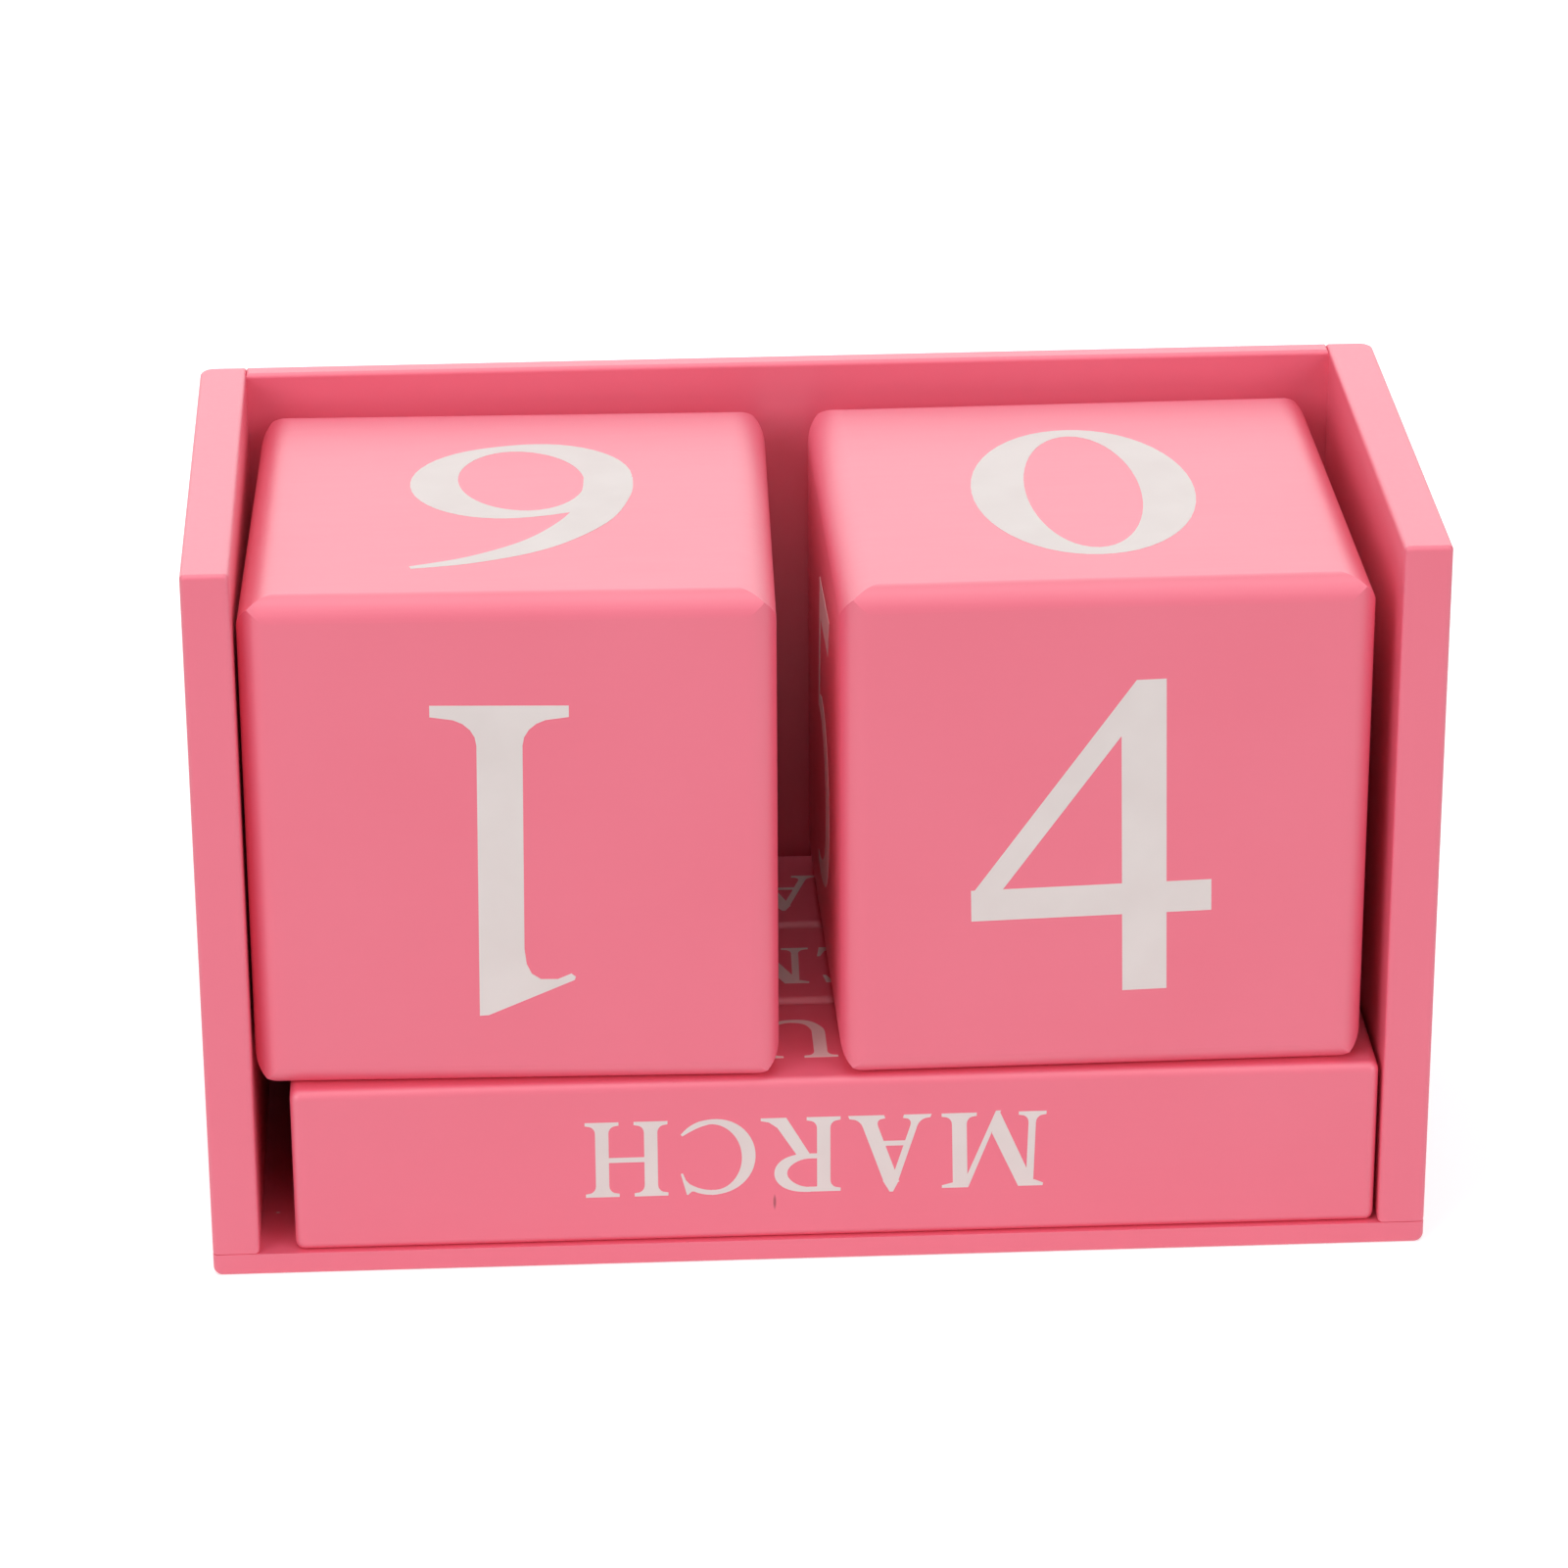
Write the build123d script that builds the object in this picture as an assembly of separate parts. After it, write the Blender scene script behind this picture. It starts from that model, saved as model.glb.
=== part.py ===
from build123d import *
import math
import os

# A perpetual block calendar. An open-fronted wooden tray holds three square month bars,
# one behind another, and two number cubes stand side by side on the bars.
# Millimetres. The origin is on the table under the middle of the tray, +X is to the
# right, +Y to the back and +Z up, so the open front of the tray faces -Y.

# Number cubes: the edges are rolled over by a cutter, one direction after another, so the
# three rolls have their own radii and meet in mitres at the corners.
cube_side = 55.0
roll_along_x = 2.4
roll_along_y = 3.8
roll_along_z = 2.8
tens_turn = -1.4  # degrees; the loose cubes stand slightly askew
units_turn = 0.6

# Month bars: square strips cut from one section. The row of bars carries the cubes.
bar_count = 3
row_overhang = 2.0  # how much deeper the row of bars is than a cube
bar_edge_radius = 1.0

# Tray boards: the two thick sides stand on the thin base, with the thin back between them.
side_thickness = 5.0
base_thickness = 2.5
back_thickness = 2.5
edge_ease = 0.5  # sanded arris of the free edges of the boards
seam_ease = 0.15  # hairline left at the foot of a side by the glued joint
rear_corner_radius = 1.5  # the upright outer corners at the back of the tray
foot_radius = 1.0  # the lower edge of the base, except along the front

# Clearances between the loose blocks and the tray.
cube_play = 9.0  # spare width of the tray over its two cubes
tens_wall_gap = 0.3
units_wall_gap = 2.3
cube_set_back = 0.3  # foremost point of a cube behind the front of the tray
bar_play = 4.2  # spare width of the tray over the length of a bar
bar_wall_gap = 0.4  # at the right end of each bar
bar_gap = 0.3
bar_set_back = 0.3
row_rear_gap = 1.2  # between the row of bars and the back
rim_over_cubes = 3.7  # how far the rim of the tray stands above the cubes

# Sizes that follow from the blocks, their clearances and the boards.
inner_width = 2 * cube_side + cube_play
bar_length = inner_width - bar_play
row_depth = cube_side + row_overhang
bar_side = (row_depth - (bar_count - 1) * bar_gap) / bar_count
bar_top_z = base_thickness + bar_side
tray_width = inner_width + 2 * side_thickness
tray_depth = bar_set_back + row_depth + row_rear_gap + back_thickness
tray_height = bar_top_z + cube_side + rim_over_cubes

# Planes that the boards and blocks share.
front_y = -tray_depth / 2
rear_y = tray_depth / 2
outer_x = tray_width / 2
inner_x = inner_width / 2


def board(x_range, y_range, z_range):
    """A plain board between two values on each axis."""
    corners = zip(x_range, y_range, z_range)
    low, high = (Vector(*corner) for corner in corners)
    size = high - low
    middle = (low + high) * 0.5
    return Pos(middle) * Box(size.X, size.Y, size.Z)


def edges_at(solid, **places):
    """The edges of a solid whose middle lies at the given x, y and z."""
    found = []
    for edge in solid.edges():
        middle = edge.center()
        spots = {"x": middle.X, "y": middle.Y, "z": middle.Z}
        if all(abs(spots[axis] - value) < 1e-6 for axis, value in places.items()):
            found.append(edge)
    return found


def base_panel():
    """The floor of the tray. Its foot is rounded in one run along both sides and the back."""
    panel = board((-outer_x, outer_x), (front_y, rear_y), (0, base_thickness))
    upright = edges_at(panel, x=-outer_x, y=rear_y) + edges_at(panel, x=outer_x, y=rear_y)
    panel = fillet(upright, rear_corner_radius)
    panel = fillet(edges_at(panel, x=outer_x, z=0), foot_radius)
    return fillet(edges_at(panel, y=front_y, z=0), edge_ease)


def side_panel(side):
    """An upright side, 1 for the right one and -1 for the left one."""
    across = sorted((side * inner_x, side * outer_x))
    panel = board(across, (front_y, rear_y), (base_thickness, tray_height))
    panel = fillet(edges_at(panel, x=side * outer_x, y=rear_y), rear_corner_radius)
    panel = fillet(edges_at(panel, y=front_y, z=base_thickness), seam_ease)
    top = panel.edges().group_by(Axis.Z)[-1]
    front = edges_at(panel, x=side * outer_x, y=front_y) + edges_at(panel, x=side * inner_x, y=front_y)
    return fillet(top + front, edge_ease)


def back_panel():
    """The upright back, housed between the sides."""
    panel = board((-inner_x, inner_x), (rear_y - back_thickness, rear_y), (base_thickness, tray_height))
    return fillet(edges_at(panel, z=tray_height), edge_ease)


def month_bar(place):
    """A month bar, counted from 0 at the front of the tray."""
    right_end = inner_x - bar_wall_gap
    front = front_y + bar_set_back + place * (bar_side + bar_gap)
    bar = board(
        (right_end - bar_length, right_end),
        (front, front + bar_side),
        (base_thickness, bar_top_z),
    )
    return fillet(bar.edges(), bar_edge_radius)


def number_cube():
    """A cube about the origin: what three rounded square prisms, longer than it, share."""
    rolls = ((Plane.YZ, roll_along_x), (Plane.XZ, roll_along_y), (Plane.XY, roll_along_z))
    prisms = []
    for plane, radius in rolls:
        section = plane * RectangleRounded(cube_side, cube_side, radius)
        prisms.append(extrude(section, cube_side, both=True))
    return prisms[0] & prisms[1] & prisms[2]


def cube_reach(turn):
    """How far a turned cube reaches from its upright axis along X or Y."""
    angle = math.radians(abs(turn))
    flat_half = cube_side / 2 - roll_along_z
    return flat_half * (math.cos(angle) + math.sin(angle)) + roll_along_z


def placed_cube(side, wall_gap, turn):
    """A number cube standing on the bars, next to the left (-1) or right (1) side."""
    reach = cube_reach(turn)
    x = side * (inner_x - wall_gap - reach)
    y = front_y + cube_set_back + reach
    z = bar_top_z + cube_side / 2
    return Pos(x, y, z) * Rot(0, 0, turn) * number_cube()


nodes = {
    "base_panel": base_panel(),
    "left_side_panel": side_panel(-1),
    "right_side_panel": side_panel(1),
    "back_panel": back_panel(),
    "tens_cube": placed_cube(-1, tens_wall_gap, tens_turn),
    "units_cube": placed_cube(1, units_wall_gap, units_turn),
}
for place, row in enumerate(("front", "middle", "rear")):
    nodes[f"{row}_month_bar"] = month_bar(place)

os.makedirs("parts", exist_ok=True)
for name, solid in nodes.items():
    export_step(solid, f"parts/{name}.step")
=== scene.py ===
import math

import bmesh
import bpy
from mathutils import Matrix, Vector
from mathutils.geometry import delaunay_2d_cdt


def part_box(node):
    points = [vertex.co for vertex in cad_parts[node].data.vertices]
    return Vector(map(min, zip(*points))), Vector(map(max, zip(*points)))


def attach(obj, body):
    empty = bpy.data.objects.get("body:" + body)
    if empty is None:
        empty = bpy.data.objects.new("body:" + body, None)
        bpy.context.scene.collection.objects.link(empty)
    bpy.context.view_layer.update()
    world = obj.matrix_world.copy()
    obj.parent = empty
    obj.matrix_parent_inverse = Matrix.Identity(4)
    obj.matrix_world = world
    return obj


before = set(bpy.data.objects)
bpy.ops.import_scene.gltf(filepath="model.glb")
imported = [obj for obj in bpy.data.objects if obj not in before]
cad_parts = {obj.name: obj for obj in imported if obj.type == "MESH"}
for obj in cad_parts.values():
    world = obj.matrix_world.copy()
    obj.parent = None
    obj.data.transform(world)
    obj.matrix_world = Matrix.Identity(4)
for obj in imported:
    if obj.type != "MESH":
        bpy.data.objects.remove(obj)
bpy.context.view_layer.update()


# Camera: set on a stand in front of the calendar, a little to its left, and looking down
# on it with a long lens, as in the photograph.
IMAGE_SIDE = 1601
FOCAL_PIXELS = 6188.1
AXIS_PIXEL = (779.9, 894.1)
SENSOR_WIDTH = 36.0
CAMERA_AT = Vector((-0.031276, -0.598133, 0.308584))
CAMERA_PITCH = -0.434067
CAMERA_YAW = -0.044832
CAMERA_ROLL = -0.006843


def add_object(name, data):
    """A new object at the origin, in the scene."""
    made = bpy.data.objects.new(name, data)
    bpy.context.scene.collection.objects.link(made)
    return made


lens = bpy.data.cameras.new("camera")
lens.sensor_fit = "HORIZONTAL"
lens.sensor_width = SENSOR_WIDTH
lens.lens = SENSOR_WIDTH * FOCAL_PIXELS / IMAGE_SIDE
lens.shift_x = (IMAGE_SIDE / 2 - AXIS_PIXEL[0]) / IMAGE_SIDE
lens.shift_y = (AXIS_PIXEL[1] - IMAGE_SIDE / 2) / IMAGE_SIDE
lens.clip_start = 0.01
lens.clip_end = 20
camera = add_object("camera", lens)
camera.matrix_world = (
    Matrix.Translation(CAMERA_AT)
    @ Matrix.Rotation(CAMERA_YAW, 4, "Z")
    @ Matrix.Rotation(math.pi / 2 + CAMERA_PITCH, 4, "X")
    @ Matrix.Rotation(CAMERA_ROLL, 4, "Z")
)
bpy.context.scene.camera = camera
bpy.context.scene.view_settings.view_transform = "Standard"


# Table: a flat sheet of white matt card that the calendar stands on. It keeps a faint shadow
# under the tray, and beyond its edges the white of the room takes over.
CARD_SIDE = 1.4
CARD_WHITE = "EDEDED"
CARD_GLOW = 0.55
PAGE_WHITE = "FFFFFF"


def linear(hex_colour):
    """An sRGB colour, written as six hex digits, as the linear RGBA that nodes take."""
    channels = [int(hex_colour[i : i + 2], 16) / 255 for i in (0, 2, 4)]
    return [c / 12.92 if c <= 0.04045 else ((c + 0.055) / 1.055) ** 2.4 for c in channels] + [1]


def cleared(owner):
    """A material or world, switched to nodes and with none in it yet."""
    owner.use_nodes = True
    owner.node_tree.nodes.clear()
    return owner


def node(owner, kind, inputs=None, **settings):
    """Adds one node. Inputs are set by name or number, to a value or another node's output."""
    tree = owner.node_tree
    made = tree.nodes.new(kind)
    for setting, value in settings.items():
        setattr(made, setting, value)
    for socket, value in (inputs or {}).items():
        if isinstance(value, bpy.types.NodeSocket):
            tree.links.new(value, made.inputs[socket])
        else:
            made.inputs[socket].default_value = value
    return made


def seen_or_mirrored(owner):
    """1 for what the camera sees straight or in a sheen, 0 for what only lights things."""
    rays = node(owner, "ShaderNodeLightPath")
    return node(
        owner,
        "ShaderNodeMath",
        {0: rays.outputs["Is Camera Ray"], 1: rays.outputs["Is Glossy Ray"]},
        operation="MAXIMUM",
    ).outputs[0]


# Uncoated card scatters light evenly and has no sheen. Its glow shows only to the camera and
# in a sheen, and lifts it to the white of a page.
card = cleared(bpy.data.materials.new("matt_white_card"))
matt = node(card, "ShaderNodeBsdfDiffuse", {"Color": linear(CARD_WHITE)})
glow = node(card, "ShaderNodeEmission", {"Color": linear(PAGE_WHITE), "Strength": CARD_GLOW})
page = node(card, "ShaderNodeAddShader", {0: matt.outputs[0], 1: glow.outputs[0]})
either = node(
    card,
    "ShaderNodeMixShader",
    {0: seen_or_mirrored(card), 1: matt.outputs[0], 2: page.outputs[0]},
)
node(card, "ShaderNodeOutputMaterial", {"Surface": either.outputs[0]})

sheet = bmesh.new()
bmesh.ops.create_grid(sheet, x_segments=1, y_segments=1, size=CARD_SIDE / 2)
sheet_mesh = bpy.data.meshes.new("table")
sheet.to_mesh(sheet_mesh)
sheet.free()
sheet_mesh.materials.append(card)
table = add_object("table", sheet_mesh)


# Studio light: a softbox to each side of the camera, so that little light goes straight into
# the gaps, a low one behind, whose reflection whitens the tops, and one overhead. The room
# is dim, but it shows white to the camera and in the sheen of the paint.
ROOM_LIGHT = 0.1
ROOM_WHITE = 1.0
# Where each softbox stands, how high it aims, its width and height in metres, and its watts.
SOFTBOXES = {
    "left_softbox": ((-1.0, -1.0, 0.75), 0.05, (0.8, 0.9), 8.0),
    "right_softbox": ((1.0, -1.0, 0.75), 0.05, (0.8, 0.9), 6.5),
    "rear_softbox": ((0.0, 1.15, 0.72), 0.07, (1.8, 0.95), 5.6),
    "top_softbox": ((-0.1, -0.12, 1.05), 0.07, (1.2, 0.9), 5.7),
}

room = cleared(bpy.data.worlds.new("room"))
dim = node(room, "ShaderNodeBackground", {"Color": linear(PAGE_WHITE), "Strength": ROOM_LIGHT})
white = node(
    room, "ShaderNodeBackground", {"Color": linear(PAGE_WHITE), "Strength": ROOM_WHITE}
)
shown = node(
    room,
    "ShaderNodeMixShader",
    {0: seen_or_mirrored(room), 1: dim.outputs[0], 2: white.outputs[0]},
)
node(room, "ShaderNodeOutputWorld", {"Surface": shown.outputs[0]})
bpy.context.scene.world = room

for name, (place, aim_height, screen, watts) in SOFTBOXES.items():
    lamp = bpy.data.lights.new(name, "AREA")
    lamp.shape = "RECTANGLE"
    lamp.size, lamp.size_y = screen
    lamp.energy = watts
    softbox = add_object(name, lamp)
    softbox.location = place
    toward = Vector((0, 0, aim_height)) - Vector(place)
    softbox.rotation_euler = toward.to_track_quat("-Z", "Y").to_euler()


# Tray boards: base, two sides and back, sawn from thin board, glued, primed, and sprayed
# with pink satin paint. The CAD boards keep their shape and take the paint.
PINK = "F36782"
PINK_THIN = "F1637E"
PAINT_ROUGHNESS = (0.48, 0.60)
# The pores of the wood, the dimples of the spray, and the clouds where the paint lies thin.
PORE_WIDTH_MM = 0.7
PORE_LENGTH_MM = 11.67
PORE_DEPTH_MM = 0.10
DIMPLE_MM = 1.6
DIMPLE_DEPTH_MM = 0.12
CLOUD_MM = 22.2

# A stain is its centre and half size in mm, its colour and its cover, which is full out to
# STAIN_CORE of its half size and fades to nothing at its edge. A small pale fleck lies on the
# base, in the gap at the left end of the bars.
STAIN_CORE = 0.4
PALE_FLECK = ((-57.83, -21.17, 2.5), (0.3, 0.22, 0.4), "F4E6E4", 0.9)


def stained(paint, spot, tone, centre_mm, half_mm, stain, cover):
    """The tone of the paint with a small stain on it."""
    away = node(
        paint,
        "ShaderNodeVectorMath",
        {0: spot, 1: [v / 1000 for v in centre_mm]},
        operation="SUBTRACT",
    )
    spread = node(
        paint,
        "ShaderNodeVectorMath",
        {0: away.outputs[0], 1: [1000 / v for v in half_mm]},
        operation="MULTIPLY",
    )
    far = node(paint, "ShaderNodeVectorMath", {0: spread.outputs[0]}, operation="LENGTH")
    fade = node(
        paint,
        "ShaderNodeMapRange",
        {
            "Value": far.outputs["Value"],
            "From Min": 1.0,
            "From Max": STAIN_CORE,
            "To Max": cover,
        },
    )
    return node(
        paint,
        "ShaderNodeMix",
        {"Factor": fade.outputs[0], "A": tone, "B": linear(stain)},
        data_type="RGBA",
    ).outputs["Result"]


def satin_paint(name, grain, stains=()):
    """Satin paint sprayed over sanded wood whose grain runs along one axis.

    To the eye it is an even pink with a broad soft sheen, which the filled pores of the wood
    and the slight dimples of the spray break up a little.
    """
    paint = cleared(bpy.data.materials.new(name))
    spot = node(paint, "ShaderNodeTexCoord").outputs["Object"]
    squeeze = [PORE_WIDTH_MM / PORE_LENGTH_MM if axis == grain else 1.0 for axis in "XYZ"]
    along = node(paint, "ShaderNodeMapping", {"Vector": spot, "Scale": squeeze})
    pores = node(
        paint,
        "ShaderNodeTexNoise",
        {
            "Vector": along.outputs[0],
            "Scale": 1000 / PORE_WIDTH_MM,
            "Detail": 3.0,
            "Roughness": 0.6,
        },
    )
    dimples = node(
        paint, "ShaderNodeTexNoise", {"Vector": spot, "Scale": 1000 / DIMPLE_MM, "Detail": 2.0}
    )
    cloud = node(
        paint, "ShaderNodeTexNoise", {"Vector": spot, "Scale": 1000 / CLOUD_MM, "Detail": 3.0}
    )
    thin = node(
        paint,
        "ShaderNodeMapRange",
        {"Value": cloud.outputs["Fac"], "From Min": 0.3, "From Max": 0.7},
    )
    tone = node(
        paint,
        "ShaderNodeMix",
        {"Factor": thin.outputs[0], "A": linear(PINK), "B": linear(PINK_THIN)},
        data_type="RGBA",
    ).outputs["Result"]
    for stain in stains:
        tone = stained(paint, spot, tone, *stain)
    smooth, rough = PAINT_ROUGHNESS
    shine = node(
        paint,
        "ShaderNodeMapRange",
        {"Value": pores.outputs["Fac"], "To Min": smooth, "To Max": rough},
    )
    dimpled = node(
        paint,
        "ShaderNodeBump",
        {
            "Height": dimples.outputs["Fac"],
            "Strength": 0.12,
            "Distance": DIMPLE_DEPTH_MM / 1000,
        },
    )
    grained = node(
        paint,
        "ShaderNodeBump",
        {
            "Height": pores.outputs["Fac"],
            "Strength": 0.15,
            "Distance": PORE_DEPTH_MM / 1000,
            "Normal": dimpled.outputs[0],
        },
    )
    surface = node(
        paint,
        "ShaderNodeBsdfPrincipled",
        {
            "Base Color": tone,
            "Roughness": shine.outputs[0],
            "IOR": 1.6,
            "Coat Weight": 1.0,
            "Coat Roughness": 0.48,
            "Coat IOR": 1.7,
            "Normal": grained.outputs[0],
        },
    )
    node(paint, "ShaderNodeOutputMaterial", {"Surface": surface.outputs[0]})
    return paint


def paint_solid(name, paint):
    """Gives a CAD solid its paint, in every material slot that it has."""
    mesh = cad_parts[name].data
    if not mesh.materials:
        mesh.materials.append(paint)
    for place in range(len(mesh.materials)):
        mesh.materials[place] = paint


upright_paint = satin_paint("pink_satin_paint_on_upright_board", "Z")
flat_paint = satin_paint("pink_satin_paint_on_flat_board", "X", [PALE_FLECK])
for board in ("left_side_panel", "right_side_panel"):
    paint_solid(board, upright_paint)
for board in ("base_panel", "back_panel"):
    paint_solid(board, flat_paint)


# Month bars: three square strips of solid wood, painted as the tray, with a month printed
# on each long face. The words read upside down from the front, as the bars were put in.
# A small dark nick in the front face of the front bar, given as a stain.
NICK = ((-4.88, -30.2, 6.9), (0.2, 0.4, 1.0), "A0203C", 1.0)

bar_paint = satin_paint("pink_satin_paint_on_bar", "X", [NICK])
for row in ("front", "middle", "rear"):
    paint_solid(f"{row}_month_bar", bar_paint)

# Screen-printing ink, an opaque film on the paint. To the eye it is an off-white, less shiny
# than the paint, with a faint tooth and cloudy where it lies thin.
INK_WHITE = "F2E9E6"
INK_THIN = "EEE4E1"
INK_MM = 0.03
INK_PATCH_MM = 6.25
INK_TOOTH_MM = 1.11
INK_TOOTH_DEPTH_MM = 0.08

ink = cleared(bpy.data.materials.new("white_printing_ink"))
ink_spot = node(ink, "ShaderNodeTexCoord").outputs["Object"]
ink_tooth = node(
    ink, "ShaderNodeTexNoise", {"Vector": ink_spot, "Scale": 1000 / INK_TOOTH_MM, "Detail": 3.0}
)
ink_patch = node(
    ink, "ShaderNodeTexNoise", {"Vector": ink_spot, "Scale": 1000 / INK_PATCH_MM, "Detail": 2.0}
)
ink_thin = node(
    ink,
    "ShaderNodeMapRange",
    {"Value": ink_patch.outputs["Fac"], "From Min": 0.35, "From Max": 0.7},
)
ink_tone = node(
    ink,
    "ShaderNodeMix",
    {"Factor": ink_thin.outputs[0], "A": linear(INK_WHITE), "B": linear(INK_THIN)},
    data_type="RGBA",
)
ink_relief = node(
    ink,
    "ShaderNodeBump",
    {
        "Height": ink_tooth.outputs["Fac"],
        "Strength": 0.15,
        "Distance": INK_TOOTH_DEPTH_MM / 1000,
    },
)
ink_surface = node(
    ink,
    "ShaderNodeBsdfPrincipled",
    {
        "Base Color": ink_tone.outputs["Result"],
        "Roughness": 0.55,
        "IOR": 1.5,
        "Specular IOR Level": 0.35,
        "Normal": ink_relief.outputs[0],
    },
)
node(ink, "ShaderNodeOutputMaterial", {"Surface": ink_surface.outputs[0]})

# The letters are roman capitals, drawn from a few pen strokes in units of their height. A
# serif is its reach to the side, the rise of its hollow bracket and the height of its tip.
STEM = 0.16
HAIR = 0.066
LETTER_SERIF = (0.122, 0.10, 0.042)
BRACKET_SHARE = 0.72
BRACKET_LIFT = 1.15
BRACKET_STEPS = 5
BOWL_STEP_DEGREES = 7
BRUSH_STEPS = 7


def corner(side, end, outward, inward, serif):
    """From the side of an upright to its level end, round a serif if it has one."""
    if not serif:
        return [(side, end)]
    reach, rise, tip = serif
    curve = []
    for step in range(BRACKET_STEPS + 1):
        turn = math.pi / 2 * step / BRACKET_STEPS
        across = BRACKET_SHARE * reach * (1 - math.cos(turn))
        up = tip * BRACKET_LIFT + rise * (1 - math.sin(turn))
        curve.append((side + outward * across, end + inward * up))
    outer = side + outward * reach
    return curve + [(outer, end + inward * tip), (outer, end)]


def upright(x, width, low, high, foot="lr", head="lr", serif=LETTER_SERIF, lean=0.0):
    """A stem at x, with a serif on each side that foot and head name. Lean tips it right."""
    left, right = x - width / 2, x + width / 2
    outline = (
        corner(left, low, -1, 1, "l" in foot and serif)
        + corner(right, low, 1, 1, "r" in foot and serif)[::-1]
        + corner(right, high, 1, -1, "r" in head and serif)
        + corner(left, high, -1, -1, "l" in head and serif)[::-1]
    )
    return [(across + lean * (up - low), up) for across, up in outline]


def slant(left, right, low, left_top, right_top, high):
    """A straight slanting stroke with level ends."""
    return [(left, low), (right, low), (right_top, high), (left_top, high)]


def slab(left, right, low, high):
    """A straight stroke with square ends."""
    return slant(left, right, low, left, right, high)


def arm(start, end, outer, drop):
    """A thin level arm. The beak at its end hangs by drop, or stands if that is negative."""
    inner = outer - math.copysign(HAIR, drop)
    return [
        (start, outer),
        (end, outer),
        (end + 0.035, outer - drop),
        (end - 0.005, outer - drop),
        (end - 0.06, outer - drop * 0.45),
        (end - 0.16, inner),
        (start, inner),
    ]


def middle_arm(end, low):
    """The short arm of E and F, whose beak both hangs and stands."""
    high, beak_foot, beak_head = low + 0.065, low - 0.105, low + 0.165
    return [
        (0.2, low),
        (end, low),
        (end + 0.02, beak_foot),
        (end + 0.05, beak_foot),
        (end + 0.05, beak_head),
        (end + 0.02, beak_head),
        (end, high),
        (0.2, high),
    ]


def bowl(x, y, across, up, start, end, thick, thin, lean=0.0):
    """A curved pen stroke along part of an oval, from one angle to another in degrees."""
    outer, inner = [], []
    steps = max(4, round(abs(end - start) / BOWL_STEP_DEGREES))
    for step in range(steps + 1):
        angle = math.radians(start + (end - start) * step / steps)
        middle = Vector((x + across * math.cos(angle), y + up * math.sin(angle)))
        away = Vector((math.cos(angle) * up, math.sin(angle) * across)).normalized()
        pen = angle - math.radians(lean)
        half = math.hypot(thick * math.cos(pen), thin * math.sin(pen)) / 2
        outer.append(middle + away * half)
        inner.append(middle - away * half)
    return outer + inner[::-1]


def ring(x, y, across, up, thick, thin, lean=0.0):
    """A whole oval, as two half strokes that overlap a little."""
    return [
        bowl(x, y, across, up, -1, 181, thick, thin, lean),
        bowl(x, y, across, up, 179, 361, thick, thin, lean),
    ]


def between(p, q, r, s, t):
    """The value at t from 0 to 1 on the smooth curve from q to r, with p before and s after."""
    slope = (r - p) * t
    bend = (2 * p - 5 * q + 4 * r - s) * t * t
    twist = (3 * q - p - 3 * r + s) * t * t * t
    return 0.5 * (2 * q + slope + bend + twist)


def brush(*marks):
    """A smooth stroke through (x, y, width) marks."""
    ends = [marks[0], *marks, marks[-1]]
    line = []
    for four in zip(ends, ends[1:], ends[2:], ends[3:]):
        for step in range(BRUSH_STEPS):
            line.append([between(*values, step / BRUSH_STEPS) for values in zip(*four)])
    line.append(marks[-1])
    left, right = [], []
    for place, (x, y, width) in enumerate(line):
        before, after = line[max(place - 1, 0)], line[min(place + 1, len(line) - 1)]
        ahead = Vector((after[0] - before[0], after[1] - before[1])).normalized()
        left.append((x - ahead.y * width / 2, y + ahead.x * width / 2))
        right.append((x + ahead.y * width / 2, y - ahead.x * width / 2))
    return left + right[::-1]


# The thin top of C and G, and the beak at its end.
HOOK = [
    brush(
        (0.52, 0.975, 0.062), (0.60, 0.968, 0.064), (0.69, 0.944, 0.064), (0.77, 0.905, 0.06),
    ),
    [
        (0.72, 0.955), (0.77, 0.955), (0.815, 1.0), (0.83, 0.995), (0.90, 0.715),
        (0.875, 0.71), (0.84, 0.80), (0.795, 0.855), (0.72, 0.90),
    ],
]

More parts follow.
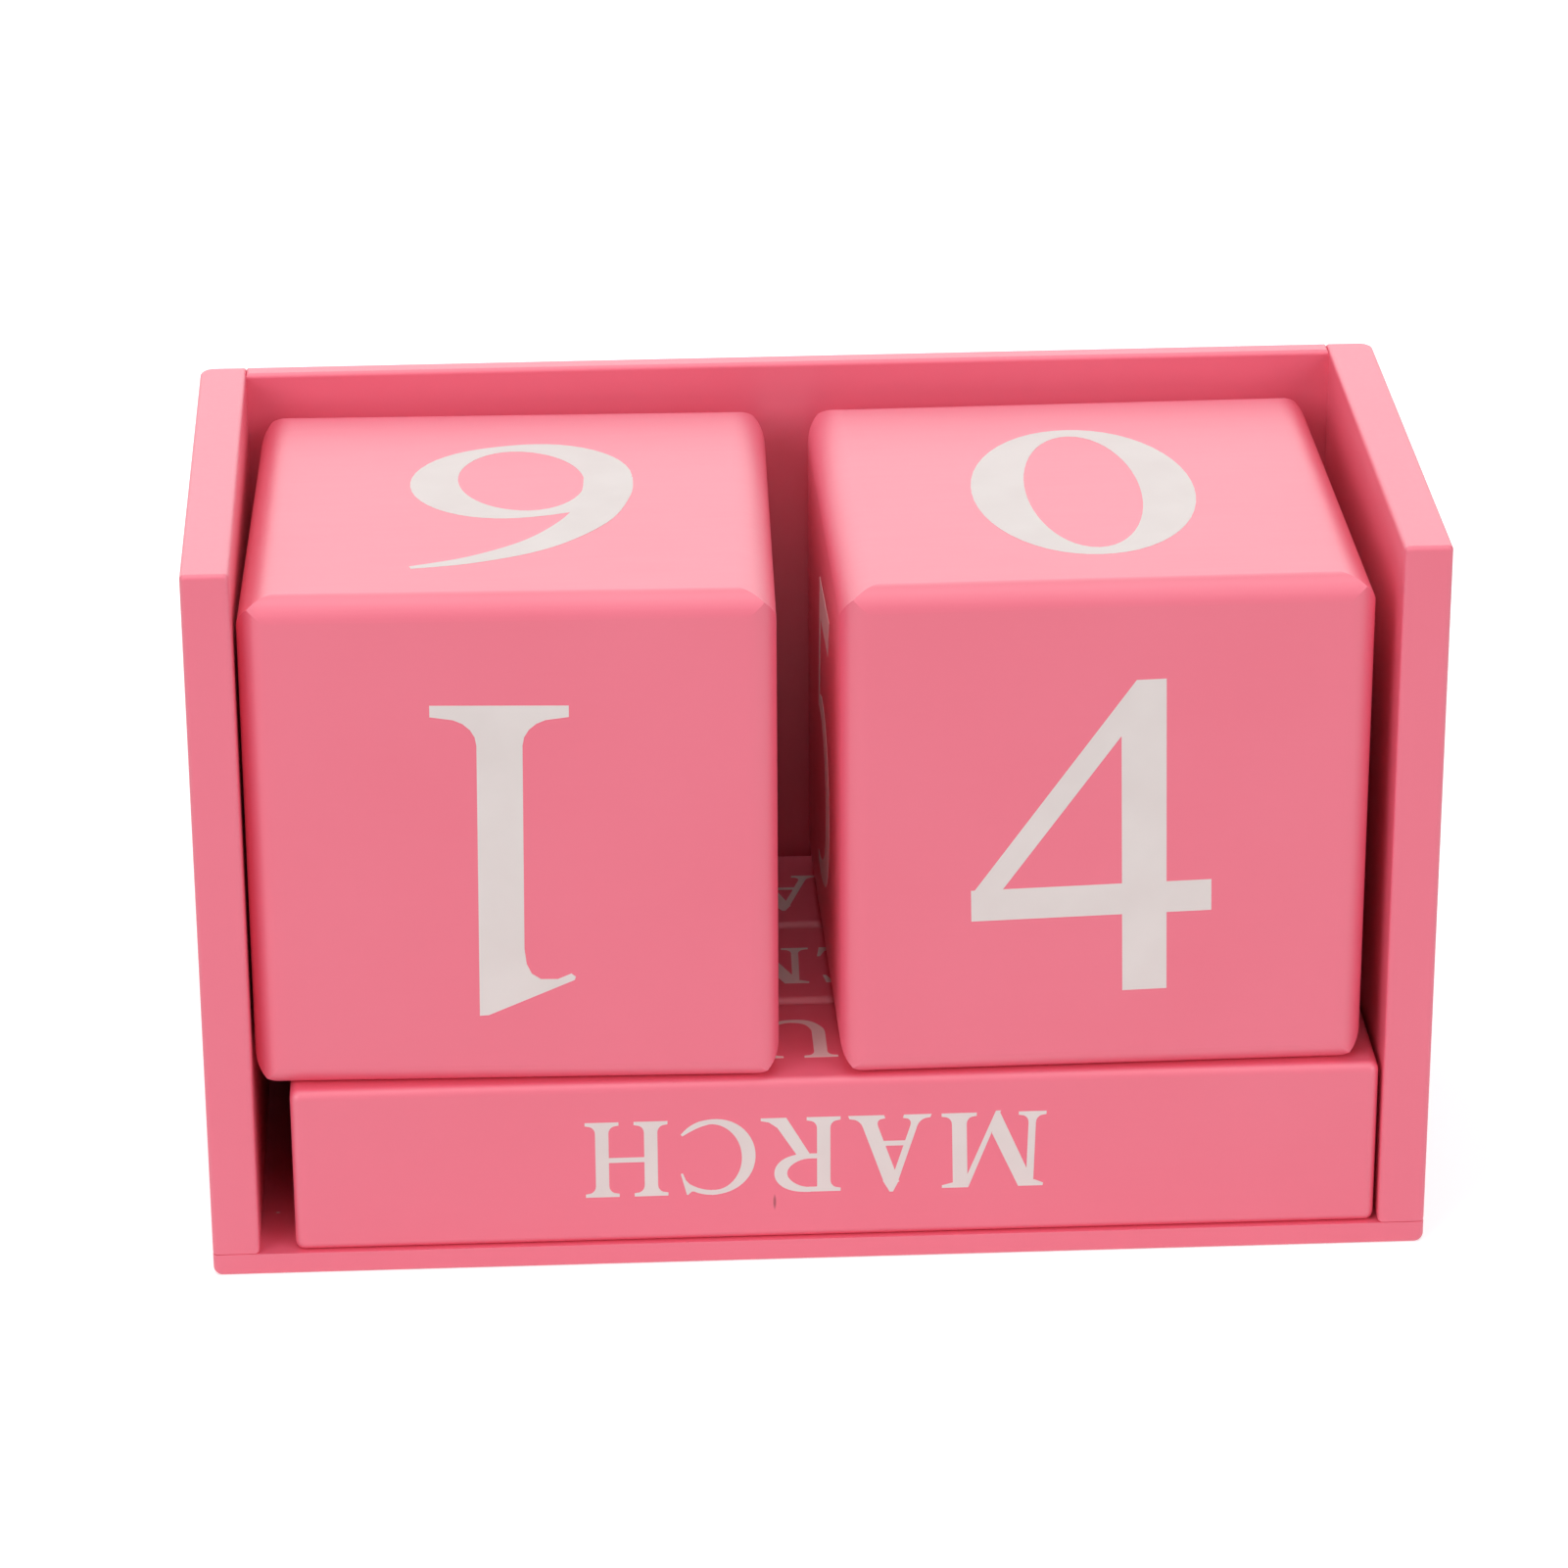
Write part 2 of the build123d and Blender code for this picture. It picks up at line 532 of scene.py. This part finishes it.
# Each letter is its width and its strokes.
LETTERS = {
    "A": (
        1.038,
        [
            upright(0.193, 0.085, 0.0, 0.94, head="", lean=0.31),
            upright(0.81, 0.185, 0.0, 0.90, head="", lean=-0.34),
            [(0.415, 0.88), (0.61, 0.88), (0.527, 1.03), (0.487, 1.03)],
            [(0.26, 0.345), (0.77, 0.345), (0.75, 0.41), (0.29, 0.41)],
        ],
    ),
    "B": (
        0.84,
        [
            upright(0.215, STEM, 0, 1, foot="l", head="l"),
            bowl(0.40, 0.755, 0.235, 0.215, -92, 92, 0.155, HAIR),
            bowl(0.40, 0.275, 0.30, 0.245, -92, 92, 0.165, HAIR),
            slab(0.2, 0.41, 0.935, 1.0),
            slab(0.2, 0.41, 0.0, 0.065),
            slab(0.2, 0.42, 0.49, 0.55),
        ],
    ),
    "C": (
        0.903,
        [
            bowl(0.515, 0.5, 0.43, 0.475, 88, 284, 0.165, 0.062, 8),
            *HOOK,
            brush(
                (0.56, 0.0285, 0.062), (0.676, 0.0596, 0.072),
                (0.79, 0.122, 0.062), (0.885, 0.20, 0.03),
            ),
        ],
    ),
    "D": (
        1.06,
        [
            upright(0.215, STEM, 0, 1, foot="l", head="l"),
            bowl(0.42, 0.5, 0.50, 0.47, -92, 92, 0.175, HAIR),
            slab(0.2, 0.43, 0.935, 1.0),
            slab(0.2, 0.43, 0.0, 0.065),
        ],
    ),
    "E": (
        0.80,
        [
            upright(0.215, STEM, 0, 1, foot="l", head="l"),
            arm(0.2, 0.70, 1.0, 0.21),
            arm(0.2, 0.74, 0.0, -0.25),
            middle_arm(0.55, 0.485),
        ],
    ),
    "F": (
        0.76,
        [
            upright(0.215, STEM, 0, 1, head="l"),
            arm(0.2, 0.69, 1.0, 0.21),
            middle_arm(0.53, 0.465),
        ],
    ),
    "G": (
        1.0,
        [
            bowl(0.515, 0.5, 0.43, 0.475, 88, 296, 0.165, 0.062, 8),
            *HOOK,
            upright(0.82, STEM, 0.08, 0.43, foot=""),
            brush((0.68, 0.055, 0.06), (0.78, 0.09, 0.08), (0.85, 0.14, 0.06)),
        ],
    ),
    "H": (
        1.013,
        [
            upright(0.215, STEM, 0, 1),
            upright(0.798, STEM, 0, 1),
            slab(0.2, 0.82, 0.475, 0.54),
        ],
    ),
    "I": (0.43, [upright(0.215, STEM, 0, 1)]),
    "J": (
        0.46,
        [
            upright(0.25, STEM, 0.1, 1, foot=""),
            brush(
                (0.25, 0.16, STEM), (0.22, -0.06, 0.13),
                (0.12, -0.18, 0.07), (-0.02, -0.23, 0.03),
            ),
        ],
    ),
    "L": (0.76, [upright(0.215, STEM, 0, 1, foot="l"), arm(0.2, 0.70, 0.0, -0.25)]),
    "M": (
        1.268,
        [
            upright(0.165, 0.088, 0.0, 0.96, head="", lean=0.03),
            [(0.13, 1.0), (0.33, 1.0), (0.65, 0.28), (0.605, -0.02), (0.565, -0.02)],
            slant(0.545, 0.605, -0.02, 0.93, 1.01, 1.0),
            upright(1.045, 0.176, 0.0, 1.0, head="", lean=-0.02),
            [(0.035, 1.0), (0.03, 0.965), (0.13, 0.92), (0.23, 0.90), (0.30, 1.0)],
            [(0.96, 1.0), (1.01, 0.86), (1.11, 0.93), (1.245, 0.965), (1.245, 1.0)],
        ],
    ),
    "N": (
        1.08,
        [
            upright(0.21, 0.08, 0, 1, head=""),
            upright(0.875, 0.08, 0.0, 1, foot=""),
            slant(0.805, 0.915, 0.0, 0.11, 0.31, 1.0),
            [(0.045, 1.0), (0.035, 0.965), (0.13, 0.93), (0.24, 0.86), (0.31, 1.0)],
        ],
    ),
    "O": (1.06, ring(0.53, 0.5, 0.45, 0.475, 0.17, 0.062, 8)),
    "P": (
        0.77,
        [
            upright(0.215, STEM, 0, 1, head="l"),
            bowl(0.385, 0.725, 0.28, 0.245, -100, 92, 0.155, HAIR),
            slab(0.2, 0.39, 0.935, 1.0),
        ],
    ),
    "R": (
        0.948,
        [
            upright(0.215, STEM, 0, 1, head="l"),
            bowl(0.385, 0.745, 0.345, 0.225, -92, 92, 0.155, HAIR),
            slab(0.2, 0.39, 0.935, 1.0),
            slab(0.2, 0.39, 0.487, 0.553),
            slant(0.66, 0.85, 0.0, 0.36, 0.52, 0.53),
            [
                (0.66, 0.0), (0.965, 0.0), (0.965, 0.035),
                (0.87, 0.055), (0.77, 0.13), (0.66, 0.10),
            ],
        ],
    ),
    "S": (
        0.66,
        [
            brush(
                (0.545, 0.90, 0.05), (0.42, 0.965, 0.062), (0.24, 0.93, 0.11),
                (0.155, 0.77, 0.145), (0.26, 0.61, 0.16), (0.42, 0.47, 0.165),
                (0.52, 0.29, 0.15), (0.45, 0.095, 0.11), (0.28, 0.03, 0.062),
                (0.11, 0.09, 0.05),
            ),
            [(0.53, 0.98), (0.50, 0.90), (0.545, 0.69), (0.585, 0.69), (0.565, 0.98)],
            [(0.06, 0.02), (0.09, 0.02), (0.14, 0.10), (0.085, 0.31), (0.045, 0.31)],
        ],
    ),
    "T": (
        0.90,
        [
            upright(0.45, STEM, 0, 1, head=""),
            arm(0.45, 0.83, 1.0, 0.21),
            [(0.9 - x, y) for x, y in arm(0.45, 0.83, 1.0, 0.21)],
        ],
    ),
    "U": (
        1.02,
        [
            upright(0.215, STEM, 0.36, 1, foot=""),
            upright(0.83, 0.08, 0.36, 1, foot=""),
            brush(
                (0.215, 0.40, STEM), (0.23, 0.24, 0.15), (0.34, 0.07, 0.11),
                (0.53, 0.02, 0.075), (0.70, 0.07, 0.075), (0.815, 0.22, 0.08),
                (0.83, 0.40, 0.08),
            ),
        ],
    ),
    "V": (
        1.02,
        [
            slant(0.49, 0.56, 0.0, 0.12, 0.30, 1.0),
            slant(0.49, 0.57, -0.01, 0.80, 0.885, 1.0),
            upright(0.21, 0.18, 0.90, 1.0, foot=""),
            upright(0.84, 0.085, 0.88, 1.0, foot=""),
        ],
    ),
    "Y": (
        0.97,
        [
            upright(0.50, STEM, 0, 0.46, head=""),
            [(0.42, 0.44), (0.58, 0.44), (0.58, 0.47), (0.30, 1.0), (0.12, 1.0)],
            [(0.48, 0.40), (0.58, 0.42), (0.85, 1.0), (0.77, 1.0), (0.48, 0.50)],
            upright(0.21, 0.17, 0.90, 1.0, foot=""),
            upright(0.81, 0.08, 0.88, 1.0, foot=""),
        ],
    ),
}
LETTER_HEIGHT_MM = 8.85
LETTER_GAP = 0.078
# How much closer than that gap some pairs stand, for an even look. C and H stand wider.
CLOSER = {"AY": 0.16, "UA": 0.06, "LY": 0.14, "RY": 0.05, "AR": 0.014, "RU": 0.03, "CH": -0.056}


def word(text):
    """The strokes of a word, about its own middle, in units of the letter height."""
    strokes = []
    reach = 0.0
    for place, letter in enumerate(text):
        if place:
            reach += LETTER_GAP - CLOSER.get(text[place - 1 : place + 1], 0)
        width, drawn = LETTERS[letter]
        strokes += [[(x + reach, y) for x, y in stroke] for stroke in drawn]
        reach += width
    return [[(x - reach / 2, y - 0.5) for x, y in stroke] for stroke in strokes]


# The overlapping strokes are cut into triangles, those of their whole hull, and corners that
# lie nearer to each other than MERGE_M become one.
WHOLE_HULL = 0
MERGE_M = 1e-7


def print_film(name, strokes, height_mm, place, body):
    """Lays strokes on a face as one closed film of ink. Place turns the film's frame to it."""
    points, loops = [], []
    for stroke in strokes:
        outline = [Vector(point) * height_mm / 1000 for point in stroke]
        area = sum(a.x * b.y - b.x * a.y for a, b in zip(outline, outline[1:] + outline[:1]))
        if area < 0:
            outline.reverse()
        loops.append(list(range(len(points), len(points) + len(outline))))
        points += outline
    spots, _, cells, _, _, covers = delaunay_2d_cdt(points, [], loops, WHOLE_HULL, MERGE_M)
    # Every triangle that one stroke or more covers is inked.
    film = bmesh.new()
    corners = {}
    for cell, over in zip(cells, covers):
        if over:
            for spot in cell:
                if spot not in corners:
                    corners[spot] = film.verts.new((*spots[spot], 0))
            film.faces.new([corners[spot] for spot in cell])
    raised = bmesh.ops.extrude_face_region(film, geom=film.faces[:], use_keep_orig=True)
    top = [v for v in raised["geom"] if isinstance(v, bmesh.types.BMVert)]
    bmesh.ops.translate(film, verts=top, vec=(0, 0, INK_MM / 1000))
    bmesh.ops.recalc_face_normals(film, faces=film.faces[:])
    bmesh.ops.transform(film, matrix=place, verts=film.verts[:])
    mesh = bpy.data.meshes.new(name)
    film.to_mesh(mesh)
    film.free()
    mesh.materials.append(ink)
    piece = add_object(name, mesh)
    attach(piece, body)


def on_face(block, looks, turn=0.0, shift_mm=(0.0, 0.0), askew=0.0):
    """The frame of a print on a face of a block that is turned by some degrees.

    Looks is the way the face looks and the way its print stands. The print is moved along
    and up from the middle of the face, and stands askew by some degrees.
    """
    low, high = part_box(block)
    outward, upward = (Vector(way) for way in looks)
    along = upward.cross(outward)
    stance = Matrix((along, upward, outward)).transposed().to_4x4()
    return (
        Matrix.Translation((low + high) / 2)
        @ Matrix.Rotation(math.radians(turn), 4, "Z")
        @ Matrix.Translation(outward * (high.z - low.z) / 2)
        @ stance
        @ Matrix.Translation((shift_mm[0] / 1000, shift_mm[1] / 1000, 0))
        @ Matrix.Rotation(math.radians(askew), 4, "Z")
    )


# The way each face looks and its letters stand, and the month on each face of a bar with how
# far the hand-laid print has slipped along and up, in mm.
BAR_FACES = {
    "front": ((0, -1, 0), (0, 0, -1)),
    "top": ((0, 0, 1), (0, -1, 0)),
    "back": ((0, 1, 0), (0, 0, 1)),
    "under": ((0, 0, -1), (0, 1, 0)),
}
BAR_MONTHS = {
    "front": {
        "front": ("MARCH", (2.24, -0.55)),
        "top": ("FEBRUARY", (1.4, -0.25)),
        "back": ("JANUARY", (0.6, -0.2)),
        "under": ("APRIL", (-0.4, 0.1)),
    },
    "middle": {
        "front": ("OCTOBER", (0.8, -0.3)),
        "top": ("NOVEMBER", (0.5, 0.85)),
        "back": ("DECEMBER", (-0.3, 0.2)),
        "under": ("SEPTEMBER", (0.2, -0.1)),
    },
    "rear": {
        "front": ("JUNE", (0.4, -0.2)),
        "top": ("MAY", (1.5, 1.15)),
        "back": ("AUGUST", (-0.6, 0.1)),
        "under": ("JULY", (0.9, -0.3)),
    },
}
for row, months in BAR_MONTHS.items():
    for face, (month, shift_mm) in months.items():
        place = on_face(f"{row}_month_bar", BAR_FACES[face], shift_mm=shift_mm)
        print_film(f"{month.lower()}_print", word(month), LETTER_HEIGHT_MM, place, f"{row}_bar")


# Number cubes: solid wood, rolled at the edges, sanded and painted like the bars, and
# printed with one figure on each of the six faces. The 6 serves as a 9 too.
cube_paint = satin_paint("pink_satin_paint_on_cube", "X")
for cube in ("tens", "units"):
    paint_solid(f"{cube}_cube", cube_paint)

# The figures are drawn like the letters, about an upright line through their middle.
FIGURE_SERIF = (0.135, 0.085, 0.036)
FIGURES = {
    "0": ring(0, 0.5, 0.254, 0.485, 0.162, 0.055),
    "1": [
        upright(0.0, 0.134, 0, 0.86, head="", serif=FIGURE_SERIF),
        [
            (0.067, 0.80), (0.067, 1.0), (0.04, 0.998), (-0.215, 0.883), (-0.218, 0.872),
            (-0.205, 0.862), (-0.165, 0.880), (-0.115, 0.880), (-0.088, 0.862),
            (-0.073, 0.83), (-0.067, 0.78),
        ],
    ],
    "2": [
        brush(
            (-0.245, 0.74, 0.03), (-0.17, 0.90, 0.06), (0.0, 0.955, 0.09), (0.15, 0.86, 0.135),
            (0.165, 0.68, 0.145), (0.06, 0.46, 0.12), (-0.11, 0.23, 0.075), (-0.24, 0.06, 0.05),
        ),
        [(-0.29, 0.0), (0.27, 0.0), (0.32, 0.20), (0.29, 0.20), (0.22, 0.115), (-0.20, 0.105)],
    ],
    "3": [
        brush(
            (-0.215, 0.80, 0.025), (-0.12, 0.92, 0.06), (0.02, 0.95, 0.095),
            (0.125, 0.85, 0.125), (0.105, 0.68, 0.10), (-0.06, 0.55, 0.04),
        ),
        brush(
            (-0.07, 0.555, 0.035), (0.10, 0.51, 0.11), (0.185, 0.36, 0.14),
            (0.15, 0.17, 0.13), (0.0, 0.05, 0.08), (-0.22, 0.045, 0.06),
        ),
    ],
    "4": [
        [(0.085, 0.0), (0.217, 0.0), (0.217, 1.0), (0.13, 1.0), (0.085, 0.93)],
        slab(-0.362, 0.35, 0.25, 0.35),
        [
            (-0.362, 0.26), (-0.362, 0.335), (0.13, 1.0),
            (0.2, 1.0), (0.085, 0.825), (-0.275, 0.34),
        ],
    ],
    "5": [
        [(-0.16, 0.93), (-0.10, 0.93), (-0.165, 0.56), (-0.215, 0.53)],
        [(-0.165, 0.86), (0.21, 0.87), (0.265, 1.0), (-0.145, 0.985)],
        brush(
            (-0.205, 0.555, 0.035), (-0.05, 0.575, 0.085), (0.11, 0.50, 0.135),
            (0.18, 0.33, 0.145), (0.12, 0.14, 0.115), (-0.05, 0.045, 0.065),
            (-0.23, 0.02, 0.03),
        ),
    ],
    "7": [
        [
            (-0.25, 0.87), (0.27, 0.885), (0.29, 1.0),
            (-0.21, 0.99), (-0.27, 0.80), (-0.245, 0.80),
        ],
        [(0.17, 0.88), (0.29, 0.96), (-0.05, 0.0), (-0.18, 0.0)],
    ],
    "8": [
        *ring(0.0, 0.76, 0.165, 0.215, 0.105, 0.05, -25),
        *ring(0.0, 0.265, 0.215, 0.245, 0.125, 0.052, -25),
    ],
    "9": [
        *ring(0.0, 0.70, 0.262, 0.275, 0.148, 0.05, 14),
        brush(
            (0.262, 0.72, 0.148), (0.255, 0.58, 0.15), (0.20, 0.38, 0.135),
            (0.06, 0.19, 0.10), (-0.13, 0.07, 0.055), (-0.315, 0.012, 0.02),
        ),
    ],
}
FIGURE_HEIGHT_MM = 35.2

# The cubes stand slightly askew in the tray, by these degrees, as their CAD solids do.
CUBE_TURNS = {"tens": -1.4, "units": 0.6}
CUBE_FACES = {
    "front": ((0, -1, 0), (0, 0, 1)),
    "top": ((0, 0, 1), (0, 1, 0)),
    "left": ((-1, 0, 0), (0, 0, 1)),
    "right": ((1, 0, 0), (0, 0, 1)),
    "back": ((0, 1, 0), (0, 0, 1)),
    "under": ((0, 0, -1), (0, 1, 0)),
}
# The figure on each face, how far its print has slipped along and up in mm, and the degrees
# by which it is turned. The 1 at the front of the left cube stands on its head.
USUAL_SLIP = (0.0, -0.6)
CUBE_FIGURES = {
    "tens": {
        "front": ("1", (-1.15, -1.77), 179.2),
        "top": ("9", (1.2, -1.4), 0.0),
        "right": ("2", USUAL_SLIP, 0.0),
        "left": ("0", USUAL_SLIP, 0.0),
        "back": ("8", USUAL_SLIP, 0.0),
        "under": ("7", USUAL_SLIP, 0.0),
    },
    "units": {
        "front": ("4", (-1.4, -0.6), 1.2),
        "top": ("0", (-0.05, -0.7), 0.0),
        "left": ("5", (-0.1, -0.9), 0.0),
        "right": ("3", USUAL_SLIP, 0.0),
        "back": ("1", USUAL_SLIP, 0.0),
        "under": ("2", USUAL_SLIP, 0.0),
    },
}
for cube, faces in CUBE_FIGURES.items():
    for face, (figure, shift_mm, askew) in faces.items():
        centred = [[(x, y - 0.5) for x, y in stroke] for stroke in FIGURES[figure]]
        place = on_face(f"{cube}_cube", CUBE_FACES[face], CUBE_TURNS[cube], shift_mm, askew)
        print_film(f"{cube}_{face}_figure", centred, FIGURE_HEIGHT_MM, place, f"{cube}_block")
